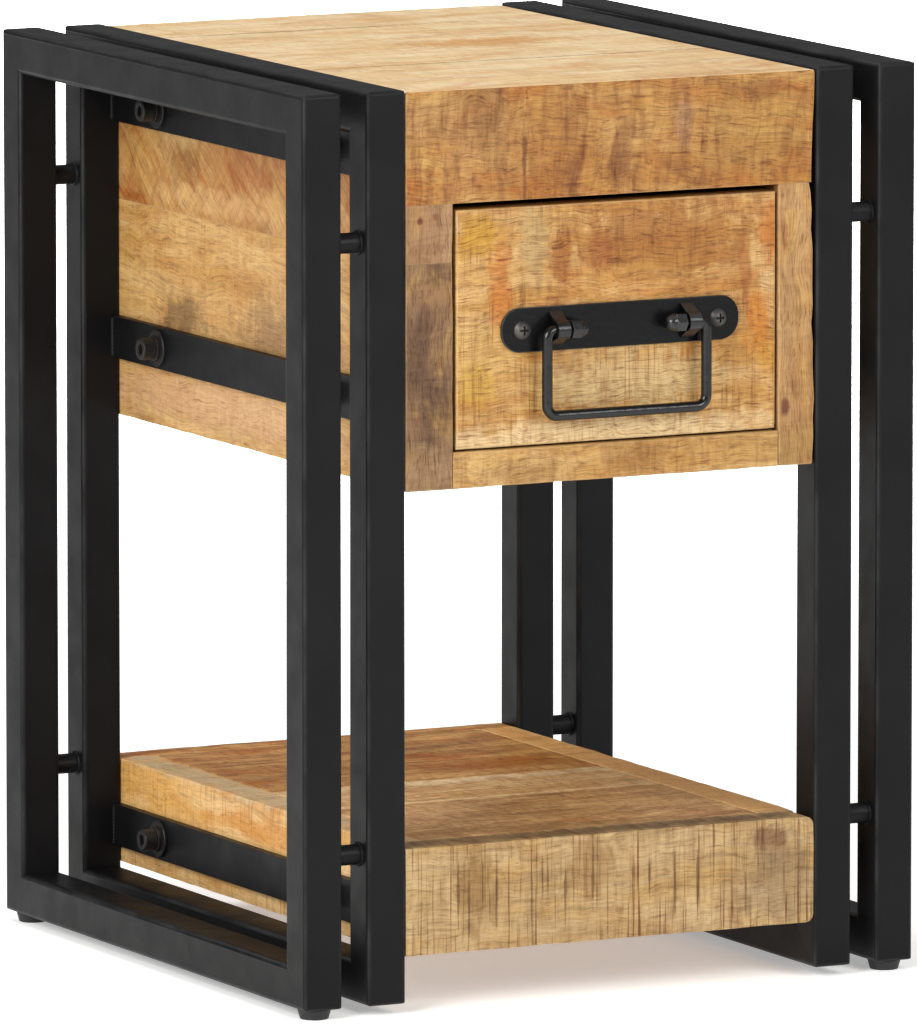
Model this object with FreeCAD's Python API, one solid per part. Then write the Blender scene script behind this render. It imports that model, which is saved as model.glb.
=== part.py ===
"""Side table with one drawer and a shelf.

Two welded steel frames stand on each side, an outer and an inner one, joined by short
round pins. Flat straps on the inner frames carry a wooden case with a drawer and, lower
down, a boxed wooden shelf. Every board, tube and fastener is its own solid.

Millimetres. +X is to the right, -Y is the front (the side the drawer opens to), +Z is up.
The origin is on the floor, in the middle of the overall footprint, handle included.
"""

import FreeCAD
import Part
import math
import os

# ---- overall ---------------------------------------------------------------------------
overall_width = 400.0
frame_depth = 404.0
overall_height = 538.0

# ---- steel frames ----------------------------------------------------------------------
tube_side = 25.0
tube_wall = 1.5
tube_corner = 3.0
frame_gap = 16.0
pin_diameter = 12.0
pin_from_frame_end = 88.0

# ---- feet, pushed into the outer frames --------------------------------------------------
foot_height = 6.0
foot_top_diameter = 20.0
foot_bottom_diameter = 16.5
foot_stem_diameter = 8.0
foot_stem_length = 9.0

# ---- straps that carry the wood ----------------------------------------------------------
strap_height = 25.0
strap_thickness = 5.0
top_strap_below_frame_top = 43.0
middle_strap_above_case_bottom = 48.0
shelf_strap_above_shelf_bottom = 23.5

# ---- strap screws: M8 socket-head screws in threaded inserts -----------------------------
screw_from_leg = 62.0
screw_diameter = 8.0
screw_length = 20.0
screw_head_diameter = 13.0
screw_head_height = 8.0
socket_across_flats = 6.0
socket_depth = 4.5
flat_washer_diameter = 22.0
flat_washer_thickness = 2.0
spring_washer_diameter = 14.8
spring_washer_thickness = 2.2
spring_washer_cut = 1.6
insert_diameter = 12.0
insert_length = 13.0
insert_hole_spare = 1.0

# ---- clearances --------------------------------------------------------------------------
bolt_clearance = 0.2
thread_clearance = 0.05
press_clearance = 0.02
pivot_clearance = 0.08
groove_clearance = 0.1
running_gap = 0.3
guide_gap = 0.5

# ---- wooden case -------------------------------------------------------------------------
case_below_frame_top = 1.5
case_height = 232.0
case_setback = 1.0
top_thickness = 20.0
top_front_plank_width = 130.0
top_rear_plank_width = 77.0
top_edge_radius = 3.0
fascia_height = 66.0
face_thickness = 20.0
left_stile_width = 31.0
right_stile_width = 24.5
stile_joint_below_fascia = 34.0
bottom_rail_height = 21.5
side_thickness = 18.0
side_seam_below_case_top = 101.5
back_thickness = 12.0
bottom_thickness = 10.0

# ---- drawer ------------------------------------------------------------------------------
drawer_setback = 1.0
drawer_gap_top = 4.2
drawer_gap_bottom = 1.2
drawer_gap_left = 2.3
drawer_gap_right = 1.4
drawer_front_thickness = 18.0
drawer_edge_radius = 1.5
drawer_side_thickness = 12.0
drawer_side_below_front_top = 19.1
drawer_side_inset = 1.0
drawer_back_thickness = 12.0
drawer_bottom_thickness = 4.0
drawer_bottom_above_edge = 8.0
drawer_groove_depth = 5.0
runner_foot_thickness = 11.9
runner_foot_past_side = 6.0
runner_guide_height = 40.0

# ---- handle ------------------------------------------------------------------------------
handle_right_of_middle = 1.5
plate_length = 155.0
plate_height = 26.0
plate_thickness = 2.0
plate_end_radius = 12.0
plate_above_drawer_middle = -2.0
handle_screw_spacing = 128.0
handle_screw_diameter = 4.5
handle_screw_length = 14.0
handle_screw_head = 11.0
handle_screw_head_height = 3.2
phillips_span = 5.4
phillips_width = 1.3
phillips_depth = 1.8
lug_spacing = 86.0
lug_width = 8.0
lug_strip = 2.3
lug_base_height = 21.0
pivot_from_plate = 8.0
bail_diameter = 6.4
bail_arm_spacing = 104.0
bail_drop = 50.0
bail_top_bend = 5.0
bail_bottom_bend = 6.5
nut_thread = 6.0
nut_across_flats = 10.0
nut_hex_height = 6.5
nut_dome_diameter = 9.5
nut_length = 12.0
nut_bore_depth = 8.5
nut_end_play = 1.6

# ---- shelf -------------------------------------------------------------------------------
shelf_above_bottom_rail = 2.5
shelf_thickness = 63.0
shelf_setback = 1.0
shelf_front_thickness = 25.0
shelf_back_thickness = 20.0
shelf_rail_width = 24.0
shelf_plank_thickness = 18.0
shelf_seams = [150.0, 223.0]
shelf_edge_radius = 5.0
cleat_width = 15.0
cleat_height = 18.0

# ---- worked out from the values above ----------------------------------------------------
pivot_reach = max(pivot_clearance + bail_diameter / 2 + lug_strip, nut_across_flats / math.sqrt(3))
drawer_face_setback = case_setback + drawer_setback
handle_reach = plate_thickness + pivot_from_plate + pivot_reach - drawer_face_setback

front = -(frame_depth - handle_reach) / 2
rear = front + frame_depth
frame_bottom = foot_height
frame_top = overall_height
half_width = overall_width / 2
outer_frame_inside = half_width - tube_side
inner_frame_outside = outer_frame_inside - frame_gap
half_clear = inner_frame_outside - tube_side

case_top = frame_top - case_below_frame_top
case_bottom = case_top - case_height
case_front = front + case_setback
case_rear = rear - case_setback
under_top = case_top - top_thickness
behind_face = case_front + face_thickness
before_back = case_rear - back_thickness
fascia_bottom = case_top - fascia_height
side_inside = half_clear - side_thickness
bottom_top = case_bottom + bottom_thickness

opening_left = -half_clear + left_stile_width
opening_right = half_clear - right_stile_width
opening_bottom = case_bottom + bottom_rail_height

shelf_bottom = frame_bottom + tube_side + shelf_above_bottom_rail
shelf_top = shelf_bottom + shelf_thickness
shelf_front = front + shelf_setback
shelf_rear = rear - shelf_setback

strap_heights = {
    "top": frame_top - top_strap_below_frame_top,
    "middle": case_bottom + middle_strap_above_case_bottom,
    "shelf": shelf_bottom + shelf_strap_above_shelf_bottom,
}
screw_ys = [front + tube_side + screw_from_leg, rear - tube_side - screw_from_leg]
screw_places = [(side, y, z) for side in (-1, 1) for z in strap_heights.values() for y in screw_ys]
washer_stack = flat_washer_thickness + spring_washer_thickness
strap_outside = half_clear + strap_thickness

X = FreeCAD.Vector(1, 0, 0)
Y = FreeCAD.Vector(0, 1, 0)
Z = FreeCAD.Vector(0, 0, 1)


# ---- small shape helpers -------------------------------------------------------------------
def box(low, high):
    """Solid box between two opposite corners."""
    size = [high[i] - low[i] for i in range(3)]
    return Part.makeBox(*size, FreeCAD.Vector(*low))


def rod(radius, start, length, direction):
    """Round bar from a start point along a direction."""
    return Part.makeCylinder(radius, length, FreeCAD.Vector(*start), direction)


def prism(points, direction):
    """Solid made by sweeping a closed polygon along a vector."""
    corners = [FreeCAD.Vector(*point) for point in points]
    return Part.Face(Part.makePolygon(corners + corners[:1])).extrude(direction)


def profile_yz(points, x_low, x_high):
    """Prism along X from (y, z) corners."""
    return prism([(x_low, y, z) for y, z in points], X * (x_high - x_low))


def hexagon(across_flats, start, length, outward):
    """Hexagonal bar along +X or -X, with one pair of flats level."""
    radius = across_flats / math.sqrt(3)
    x, y, z = start
    corners = []
    for step in range(6):
        angle = math.radians(60 * step)
        corners.append((x, y + radius * math.cos(angle), z + radius * math.sin(angle)))
    return prism(corners, X * (length * outward))


def edges_along(shape, direction, test):
    """Straight edges parallel to a direction whose middle passes a test."""
    found = []
    for edge in shape.Edges:
        if edge.Curve.TypeId != "Part::GeomLine":
            continue
        if edge.Curve.Direction.cross(direction).Length > 1e-6:
            continue
        if test(edge.BoundBox.Center):
            found.append(edge)
    return found


def rounded(shape, radius, direction, test):
    """Shape with the chosen straight edges rounded."""
    return shape.makeFillet(radius, edges_along(shape, direction, test))


def near(value, target):
    return abs(value - target) < 1e-4


def save(name, *solids):
    """Write one node, which holds one solid or a group of separate solids."""
    shape = solids[0] if len(solids) == 1 else Part.makeCompound(list(solids))
    shape.exportStep(os.path.join("parts", name + ".step"))


# ---- steel frames ----------------------------------------------------------------------------
def hollow_square(length, start, direction):
    """Square tube with rounded corners, its centre line from start along Y or Z."""
    side = tube_side / 2
    across = Y if direction is Z else Z
    corner = start - X * side - across * side

    def bar(inset, radius):
        low = corner + (X + across) * inset
        size = tube_side - 2 * inset
        solid = Part.makeBox(
            size,
            length if direction is Y else size,
            length if direction is Z else size,
            low,
        )
        return solid.makeFillet(radius, edges_along(solid, direction, lambda middle: True))

    return bar(0.0, tube_corner).cut(bar(tube_wall, tube_corner - tube_wall))


def frame_piece(x_middle, name):
    """One of a frame's four tubes, mitred at both ends."""
    low, high = frame_bottom, frame_top
    t = tube_side
    outlines = {
        "front_leg": [(front, low), (front + t, low + t), (front + t, high - t), (front, high)],
        "rear_leg": [(rear, low), (rear - t, low + t), (rear - t, high - t), (rear, high)],
        "top_rail": [(front, high), (front + t, high - t), (rear - t, high - t), (rear, high)],
        "bottom_rail": [(front, low), (front + t, low + t), (rear - t, low + t), (rear, low)],
    }
    outline = profile_yz(outlines[name], x_middle - t, x_middle + t)
    if name.endswith("leg"):
        y = front + t / 2 if name == "front_leg" else rear - t / 2
        tube = hollow_square(high - low, FreeCAD.Vector(x_middle, y, low), Z)
    else:
        z = high - t / 2 if name == "top_rail" else low + t / 2
        tube = hollow_square(frame_depth, FreeCAD.Vector(x_middle, front, z), Y)
    return tube.common(outline)


def make_frames():
    places = {
        "outer": half_width - tube_side / 2,
        "inner": inner_frame_outside - tube_side / 2,
    }
    for side_name, side in (("left", -1), ("right", 1)):
        for ring, distance in places.items():
            for piece in ("front_leg", "rear_leg", "top_rail", "bottom_rail"):
                solid = frame_piece(side * distance, piece)
                if ring == "outer" and piece == "bottom_rail":
                    for place in foot_places():
                        if place[0] * side > 0:
                            start = (place[0], place[1], frame_bottom - 1)
                            hole = foot_stem_diameter / 2 + press_clearance
                            solid = solid.cut(rod(hole, start, tube_wall + 2, Z))
                save(f"{side_name}_{ring}_{piece}", solid)


def make_spacer_pins():
    pins = []
    for side in (-1, 1):
        x = inner_frame_outside if side > 0 else -outer_frame_inside
        for y in (front + tube_side / 2, rear - tube_side / 2):
            for z in (frame_bottom + pin_from_frame_end, frame_top - pin_from_frame_end):
                pins.append(rod(pin_diameter / 2, (x, y, z), frame_gap, X))
    save("spacer_pins", *pins)


def foot_places():
    x = half_width - tube_side / 2
    return [(sx * x, y) for sx in (-1, 1) for y in (front + tube_side / 2, rear - tube_side / 2)]


def make_feet():
    feet = []
    for x, y in foot_places():
        base = FreeCAD.Vector(x, y, 0)
        pad = Part.makeCone(foot_bottom_diameter / 2, foot_top_diameter / 2, foot_height, base, Z)
        stem = rod(foot_stem_diameter / 2, (x, y, foot_height), foot_stem_length, Z)
        feet.append(pad.fuse(stem).removeSplitter())
    save("foot_glides", *feet)


# ---- straps and their screws -----------------------------------------------------------------
def make_straps():
    for level, z in strap_heights.items():
        pair = []
        for side in (-1, 1):
            xs = sorted((side * half_clear, side * strap_outside))
            low = (xs[0], front + tube_side, z - strap_height / 2)
            high = (xs[1], rear - tube_side, z + strap_height / 2)
            strap = box(low, high)
            for y in screw_ys:
                hole = rod(screw_diameter / 2 + bolt_clearance, (xs[0] - 1, y, z), strap_thickness + 2, X)
                strap = strap.cut(hole)
            pair.append(strap)
        save(f"{level}_straps", *pair)


def ring(outer, inner, start, thickness, direction):
    return rod(outer, start, thickness, direction).cut(rod(inner, start, thickness, direction))


def make_strap_fasteners():
    screws, flats, springs, inserts = [], [], [], []
    bolt_hole = screw_diameter / 2 + bolt_clearance
    for side, y, z in screw_places:
        out = X * side
        under_head = side * (strap_outside + washer_stack)
        head = rod(screw_head_diameter / 2, (under_head, y, z), screw_head_height, out)
        rim = [edge for edge in head.Edges if near(abs(edge.BoundBox.Center.x - under_head), screw_head_height)]
        head = head.makeFillet(0.8, rim)
        socket_start = (under_head + side * (screw_head_height - socket_depth), y, z)
        head = head.cut(hexagon(socket_across_flats, socket_start, socket_depth + 1, side))
        shank = rod(screw_diameter / 2, (under_head, y, z), screw_length, -out)
        screws.append(head.fuse(shank).removeSplitter())

        seat = (side * strap_outside, y, z)
        flats.append(ring(flat_washer_diameter / 2, bolt_hole, seat, flat_washer_thickness, out))

        seat = (side * (strap_outside + flat_washer_thickness), y, z)
        spring = ring(spring_washer_diameter / 2, bolt_hole, seat, spring_washer_thickness, out)
        cut_low = (seat[0] - spring_washer_thickness, y - spring_washer_cut / 2, z)
        cut_high = (seat[0] + spring_washer_thickness, y + spring_washer_cut / 2, z + spring_washer_diameter)
        springs.append(spring.cut(box(cut_low, cut_high)))

        thread = screw_diameter / 2 + thread_clearance
        inserts.append(ring(insert_diameter / 2, thread, (side * half_clear, y, z), insert_length, -out))
    save("strap_screws", *screws)
    save("flat_washers", *flats)
    save("spring_washers", *springs)
    save("threaded_inserts", *inserts)


def with_insert_holes(board, z_low, z_high, side):
    """Board with a hole for each threaded insert between two heights on one side."""
    depth = insert_length + insert_hole_spare
    for place_side, y, z in screw_places:
        if place_side == side and z_low < z < z_high:
            start = (side * half_clear, y, z)
            board = board.cut(rod(insert_diameter / 2 + press_clearance, start, depth, X * -side))
    return board


# ---- wooden case -------------------------------------------------------------------------------
def make_top():
    """Three planks edge to edge; the first is mitred to the fascia along its front edge."""
    front_seam = case_front + top_front_plank_width
    rear_seam = case_rear - top_rear_plank_width
    planks = {
        "top_front_plank": (case_front, front_seam),
        "top_middle_plank": (front_seam, rear_seam),
        "top_rear_plank": (rear_seam, case_rear),
    }
    for name, (y_low, y_high) in planks.items():
        foot = behind_face if y_low == case_front else y_low
        outline = [(y_low, case_top), (foot, under_top), (y_high, under_top), (y_high, case_top)]
        plank = profile_yz(outline, -half_clear, half_clear)
        plank = rounded(plank, top_edge_radius, Y, lambda middle: near(middle.z, case_top))
        save(name, plank)


def make_face():
    y_low, y_high = case_front, behind_face
    outline = [(y_low, case_top), (y_low, fascia_bottom), (y_high, fascia_bottom), (y_high, under_top)]
    fascia = profile_yz(outline, -half_clear, half_clear)
    save("front_fascia", fascia)

    joint = fascia_bottom - stile_joint_below_fascia
    save("left_stile_upper", box((-half_clear, y_low, joint), (opening_left, y_high, fascia_bottom)))
    save("left_stile_lower", box((-half_clear, y_low, case_bottom), (opening_left, y_high, joint)))
    save("right_stile", box((opening_right, y_low, case_bottom), (half_clear, y_high, fascia_bottom)))
    save("bottom_rail", box((opening_left, y_low, case_bottom), (opening_right, y_high, opening_bottom)))


def make_case_sides():
    seam = case_top - side_seam_below_case_top
    for side_name, side in (("left", -1), ("right", 1)):
        xs = sorted((side * side_inside, side * half_clear))
        for level, z_low, z_high in (("lower", case_bottom, seam), ("upper", seam, under_top)):
            plank = box((xs[0], behind_face, z_low), (xs[1], case_rear, z_high))
            save(f"{side_name}_side_{level}_plank", with_insert_holes(plank, z_low, z_high, side))


def make_case_inside():
    save("case_back", box((-side_inside, before_back, case_bottom), (side_inside, case_rear, under_top)))
    save("case_bottom", box((-side_inside, behind_face, case_bottom), (side_inside, before_back, bottom_top)))


# ---- drawer ------------------------------------------------------------------------------------
drawer_left = opening_left + drawer_gap_left
drawer_right = opening_right - drawer_gap_right
drawer_bottom = opening_bottom + drawer_gap_bottom
drawer_top = fascia_bottom - drawer_gap_top
drawer_front = case_front + drawer_setback
drawer_behind_front = drawer_front + drawer_front_thickness
drawer_rear = before_back - running_gap
drawer_box_left = drawer_left + drawer_side_inset
drawer_box_right = drawer_right - drawer_side_inset
drawer_side_top = drawer_top - drawer_side_below_front_top
drawer_panel_low = drawer_bottom + drawer_bottom_above_edge
drawer_panel_high = drawer_panel_low + drawer_bottom_thickness

handle_x = (drawer_left + drawer_right) / 2 + handle_right_of_middle
handle_z = (drawer_bottom + drawer_top) / 2 + plate_above_drawer_middle
plate_face = drawer_front - plate_thickness
pivot_y = plate_face - pivot_from_plate
handle_screw_xs = [handle_x - handle_screw_spacing / 2, handle_x + handle_screw_spacing / 2]


def drawer_groove(x_low, x_high, y_low, y_high):
    """Slot that takes the edge of the drawer's bottom panel."""
    low = (x_low, y_low, drawer_panel_low - groove_clearance)
    return box(low, (x_high, y_high, drawer_panel_high + groove_clearance))


def make_drawer_front():
    board = box((drawer_left, drawer_front, drawer_bottom), (drawer_right, drawer_behind_front, drawer_top))
    front_edges = edges_along(board, X, lambda middle: near(middle.y, drawer_front))
    front_edges += edges_along(board, Z, lambda middle: near(middle.y, drawer_front))
    board = board.makeFillet(drawer_edge_radius, front_edges)
    groove_front = drawer_behind_front - drawer_groove_depth
    x_low = drawer_box_left + drawer_side_thickness - drawer_groove_depth
    x_high = drawer_box_right - drawer_side_thickness + drawer_groove_depth
    board = board.cut(drawer_groove(x_low, x_high, groove_front, drawer_behind_front + 1))
    hole = handle_screw_diameter / 2 + press_clearance
    for x in handle_screw_xs:
        board = board.cut(rod(hole, (x, drawer_front - 1, handle_z), handle_screw_length + 1, Y))
    save("drawer_front", board)


def make_drawer_box():
    sides = {
        "left": (drawer_box_left, drawer_box_left + drawer_side_thickness, -1),
        "right": (drawer_box_right - drawer_side_thickness, drawer_box_right, 1),
    }
    for name, (x_low, x_high, side) in sides.items():
        board = box((x_low, drawer_behind_front, drawer_bottom), (x_high, drawer_rear, drawer_side_top))
        inner = x_high if side < 0 else x_low
        xs = sorted((inner + side * drawer_groove_depth, inner - side))
        board = board.cut(drawer_groove(xs[0], xs[1], drawer_behind_front - 1, drawer_rear + 1))
        save(f"drawer_{name}_side", board)

    inner_left = drawer_box_left + drawer_side_thickness
    inner_right = drawer_box_right - drawer_side_thickness
    back_low = (inner_left, drawer_rear - drawer_back_thickness, drawer_panel_high + groove_clearance)
    save("drawer_back", box(back_low, (inner_right, drawer_rear, drawer_side_top)))

    reach = drawer_groove_depth - groove_clearance
    low = (inner_left - reach, drawer_behind_front - reach, drawer_panel_low)
    save("drawer_bottom", box(low, (inner_right + reach, drawer_rear, drawer_panel_high)))


def make_runners():
    """L-shaped wooden runners: the foot carries the drawer side, the upright guides it."""
    foot_top = drawer_bottom - running_gap
    places = {
        "left": (-side_inside, drawer_box_left, 1),
        "right": (side_inside, drawer_box_right, -1),
    }
    for name, (wall, drawer_edge, inward) in places.items():
        guide = drawer_edge - inward * guide_gap
        tip = drawer_edge + inward * (drawer_side_thickness + runner_foot_past_side)
        foot_xs = sorted((wall, tip))
        guide_xs = sorted((wall, guide))
        foot = box((foot_xs[0], behind_face, bottom_top), (foot_xs[1], before_back, foot_top))
        upright_top = foot_top + runner_guide_height
        upright = box((guide_xs[0], behind_face, foot_top), (guide_xs[1], before_back, upright_top))
        save(f"{name}_drawer_runner", foot.fuse(upright).removeSplitter())


# ---- handle ------------------------------------------------------------------------------------
def make_handle_plate():
    half = plate_length / 2
    low = (handle_x - half, plate_face, handle_z - plate_height / 2)
    plate = box(low, (handle_x + half, drawer_front, handle_z + plate_height / 2))
    plate = rounded(plate, plate_end_radius, Y, lambda middle: True)
    hole = handle_screw_diameter / 2 + bolt_clearance
    for x in handle_screw_xs:
        plate = plate.cut(rod(hole, (x, plate_face - 1, handle_z), plate_thickness + 2, Y))
    save("handle_plate", plate)


def make_handle_lugs():
    """Folded strips welded to the plate, each a loop round the bail's pin."""
    loop = bail_diameter / 2 + pivot_clearance
    nose = loop + lug_strip
    base = lug_base_height / 2
    outer_points = [
        (plate_face, handle_z + base),
        (pivot_y, handle_z + nose),
        (pivot_y, handle_z - nose),
        (plate_face, handle_z - base),
    ]
    inner_points = [
        (plate_face, handle_z + base - lug_strip),
        (pivot_y, handle_z + loop),
        (pivot_y, handle_z - loop),
        (plate_face, handle_z - base + lug_strip),
    ]
    lugs = []
    for side in (-1, 1):
        middle = handle_x + side * lug_spacing / 2
        start = middle - lug_width / 2
        outer = profile_yz(outer_points, start, start + lug_width)
        outer = outer.fuse(rod(nose, (start, pivot_y, handle_z), lug_width, X))
        inner = profile_yz(inner_points, start, start + lug_width)
        inner = inner.fuse(rod(loop, (start, pivot_y, handle_z), lug_width, X))
        lugs.append(outer.cut(inner).removeSplitter())
    save("handle_lugs", *lugs)


def make_handle_screws():
    screws = []
    for x in handle_screw_xs:
        radius = handle_screw_head / 2
        sphere_radius = (radius ** 2 + handle_screw_head_height ** 2) / (2 * handle_screw_head_height)
        centre = FreeCAD.Vector(x, plate_face - handle_screw_head_height + sphere_radius, handle_z)
        ball = Part.makeSphere(sphere_radius, centre)
        low = (x - radius - 1, plate_face - handle_screw_head_height - 1, handle_z - radius - 1)
        head = ball.common(box(low, (x + radius + 1, plate_face, handle_z + radius + 1)))
        slot_low = plate_face - handle_screw_head_height - 1
        slot_high = plate_face - handle_screw_head_height + phillips_depth
        for half_x, half_z in ((phillips_span, phillips_width), (phillips_width, phillips_span)):
            low = (x - half_x / 2, slot_low, handle_z - half_z / 2)
            head = head.cut(box(low, (x + half_x / 2, slot_high, handle_z + half_z / 2)))
        length = handle_screw_length + plate_thickness - 1
        straight = length * 0.7
        shank = rod(handle_screw_diameter / 2, (x, plate_face, handle_z), straight, Y)
        tip_start = FreeCAD.Vector(x, plate_face + straight, handle_z)
        tip = Part.makeCone(handle_screw_diameter / 2, 0.4, length - straight, tip_start, Y)
        screws.append(head.fuse([shank, tip]).removeSplitter())
    save("handle_screws", *screws)


nut_outer_face = (lug_spacing - lug_width) / 2 - nut_end_play
bail_arm = bail_arm_spacing / 2
bail_bottom = handle_z - bail_drop


def bail_path():
    """Centre line of the bail: pin, bend, arm, bend, grip, and back up again."""
    diagonal = math.sqrt(0.5)
    top = bail_top_bend
    low = bail_bottom_bend

    def point(x, z):
        return FreeCAD.Vector(handle_x + x, pivot_y, z)

    def bend(side, centre_x, centre_z, radius, up):
        """Arc between an arm and the pin above it, or the grip below it."""
        on_arm = point(side * (centre_x + radius), centre_z)
        middle = point(side * (centre_x + radius * diagonal), centre_z + up * radius * diagonal)
        off_arm = point(side * centre_x, centre_z + up * radius)
        return [on_arm, middle, off_arm]

    left_top = bend(-1, bail_arm - top, handle_z - top, top, 1)
    left_low = bend(-1, bail_arm - low, bail_bottom + low, low, -1)
    right_low = bend(1, bail_arm - low, bail_bottom + low, low, -1)
    right_top = bend(1, bail_arm - top, handle_z - top, top, 1)
    return Part.Wire([
        Part.LineSegment(point(-nut_outer_face, handle_z), left_top[2]).toShape(),
        Part.Arc(*reversed(left_top)).toShape(),
        Part.LineSegment(left_top[0], left_low[0]).toShape(),
        Part.Arc(*left_low).toShape(),
        Part.LineSegment(left_low[2], right_low[2]).toShape(),
        Part.Arc(*reversed(right_low)).toShape(),
        Part.LineSegment(right_low[0], right_top[0]).toShape(),
        Part.Arc(*right_top).toShape(),
        Part.LineSegment(right_top[2], point(nut_outer_face, handle_z)).toShape(),
    ])


def make_bail():
    start = FreeCAD.Vector(handle_x - nut_outer_face, pivot_y, handle_z)
    section = Part.Wire(Part.makeCircle(bail_diameter / 2, start, X))
    bail = bail_path().makePipeShell([section], True, True)
    for side in (-1, 1):
        place = (handle_x + side * nut_outer_face, pivot_y, handle_z)
        bail = bail.fuse(rod(nut_thread / 2, place, nut_bore_depth - running_gap, X * -side))
    save("bail", bail.removeSplitter())


def make_bail_nuts():
    """Dome nuts that keep the bail's pins in the lugs."""
    nuts = []
    for side in (-1, 1):
        inward = -side
        x = handle_x + side * nut_outer_face
        dome = nut_dome_diameter / 2
        hex_part = hexagon(nut_across_flats, (x, pivot_y, handle_z), nut_hex_height, inward)
        straight = nut_length - dome
        barrel = rod(dome, (x, pivot_y, handle_z), straight, X * inward)
        ball = Part.makeSphere(dome, FreeCAD.Vector(x + inward * straight, pivot_y, handle_z))
        nut = hex_part.fuse([barrel, ball])
        bore = rod(nut_thread / 2 + thread_clearance, (x, pivot_y, handle_z), nut_bore_depth, X * inward)
        nuts.append(nut.cut(bore).removeSplitter())
    save("bail_nuts", *nuts)


# ---- shelf -------------------------------------------------------------------------------------
def make_shelf():
    inner = half_clear - shelf_rail_width
    rail_front = shelf_front + shelf_front_thickness
    rail_rear = shelf_rear - shelf_back_thickness
    plank_bottom = shelf_top - shelf_plank_thickness

    board = box((-half_clear, shelf_front, shelf_bottom), (half_clear, rail_front, shelf_top))
    save("shelf_front_board", rounded(board, shelf_edge_radius, Y, lambda middle: middle.x > 0))
    save("shelf_back_board", box((-half_clear, rail_rear, shelf_bottom), (half_clear, shelf_rear, shelf_top)))

    for side_name, side in (("left", -1), ("right", 1)):
        xs = sorted((side * inner, side * half_clear))
        rail = box((xs[0], rail_front, shelf_bottom), (xs[1], rail_rear, shelf_top))
        save(f"shelf_{side_name}_rail", with_insert_holes(rail, shelf_bottom, shelf_top, side))

    cuts = [rail_front] + [shelf_front + seam for seam in shelf_seams] + [rail_rear]
    for name, y_low, y_high in zip(("front", "middle", "rear"), cuts[:-1], cuts[1:]):
        save(f"shelf_{name}_plank", box((-inner, y_low, plank_bottom), (inner, y_high, shelf_top)))

    cleats = []
    for side in (-1, 1):
        xs = sorted((side * inner, side * (inner - cleat_width)))
        low = (xs[0], rail_front, plank_bottom - cleat_height)
        cleats.append(box(low, (xs[1], rail_rear, plank_bottom)))
    save("shelf_cleats", *cleats)


# ---- build -------------------------------------------------------------------------------------
os.makedirs("parts", exist_ok=True)
make_frames()
make_spacer_pins()
make_feet()
make_straps()
make_strap_fasteners()
make_top()
make_face()
make_case_sides()
make_case_inside()
make_drawer_front()
make_drawer_box()
make_runners()
make_handle_plate()
make_handle_lugs()
make_handle_screws()
make_bail()
make_bail_nuts()
make_shelf()
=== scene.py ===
# %% [markdown]
# # A side table of black steel and rough mango wood
# The object is a small table with one drawer and a low shelf. Two welded steel frames stand
# on each side, and the wood hangs between them on flat straps. The measured model already
# holds every board, tube and screw in its right place, so this lesson only dresses it: it
# eases edges, adds welds and wear, and makes the finishes.

# %% Load the measured model
import math

import bmesh
import bpy
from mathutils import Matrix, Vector, noise


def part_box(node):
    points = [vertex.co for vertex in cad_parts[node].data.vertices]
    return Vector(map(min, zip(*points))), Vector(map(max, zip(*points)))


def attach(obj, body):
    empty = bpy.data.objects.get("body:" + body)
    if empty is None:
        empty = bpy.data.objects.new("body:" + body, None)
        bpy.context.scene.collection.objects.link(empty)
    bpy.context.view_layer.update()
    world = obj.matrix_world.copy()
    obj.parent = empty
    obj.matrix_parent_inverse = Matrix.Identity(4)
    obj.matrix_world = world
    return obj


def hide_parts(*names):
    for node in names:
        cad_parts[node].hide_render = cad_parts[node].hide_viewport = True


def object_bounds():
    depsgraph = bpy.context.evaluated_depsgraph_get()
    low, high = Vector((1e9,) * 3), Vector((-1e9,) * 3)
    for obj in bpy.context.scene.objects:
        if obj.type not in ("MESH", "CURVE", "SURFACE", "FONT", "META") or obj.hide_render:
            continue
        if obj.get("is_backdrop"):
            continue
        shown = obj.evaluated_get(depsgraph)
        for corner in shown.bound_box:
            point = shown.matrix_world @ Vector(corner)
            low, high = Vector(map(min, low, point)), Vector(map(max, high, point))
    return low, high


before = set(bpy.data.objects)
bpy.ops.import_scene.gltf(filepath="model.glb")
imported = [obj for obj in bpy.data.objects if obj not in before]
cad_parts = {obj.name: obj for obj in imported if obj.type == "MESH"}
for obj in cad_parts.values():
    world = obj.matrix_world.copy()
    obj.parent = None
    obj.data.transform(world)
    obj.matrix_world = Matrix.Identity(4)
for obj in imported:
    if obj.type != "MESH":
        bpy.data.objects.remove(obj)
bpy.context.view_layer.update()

mm = 0.001
print("pieces in the measured model:", len(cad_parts))

# %% [markdown]
# Everything below is placed from the measured pieces, never from numbers typed twice. A box
# of a piece gives its lowest and highest corner, and from a few boxes come the faces that
# the rest of the lesson needs: the front and the rear of the frames, their tops and feet.

# %% Find the main faces
leg_low, leg_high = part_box("left_outer_front_leg")
frame_front, frame_rear = leg_low.y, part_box("right_outer_rear_leg")[1].y
frame_top = leg_high.z
frame_foot = leg_low.z
tube_side = leg_high.x - leg_low.x
print("frames are", round((frame_rear - frame_front) / mm), "mm deep")

# %% [markdown]
# The camera stands a little to the left and slightly above the top, far away and with a
# long lens, so the upright tubes stay almost parallel. It is aimed by a look-at direction:
# the quaternion that turns the camera's own minus Z along the line of sight.

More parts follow.
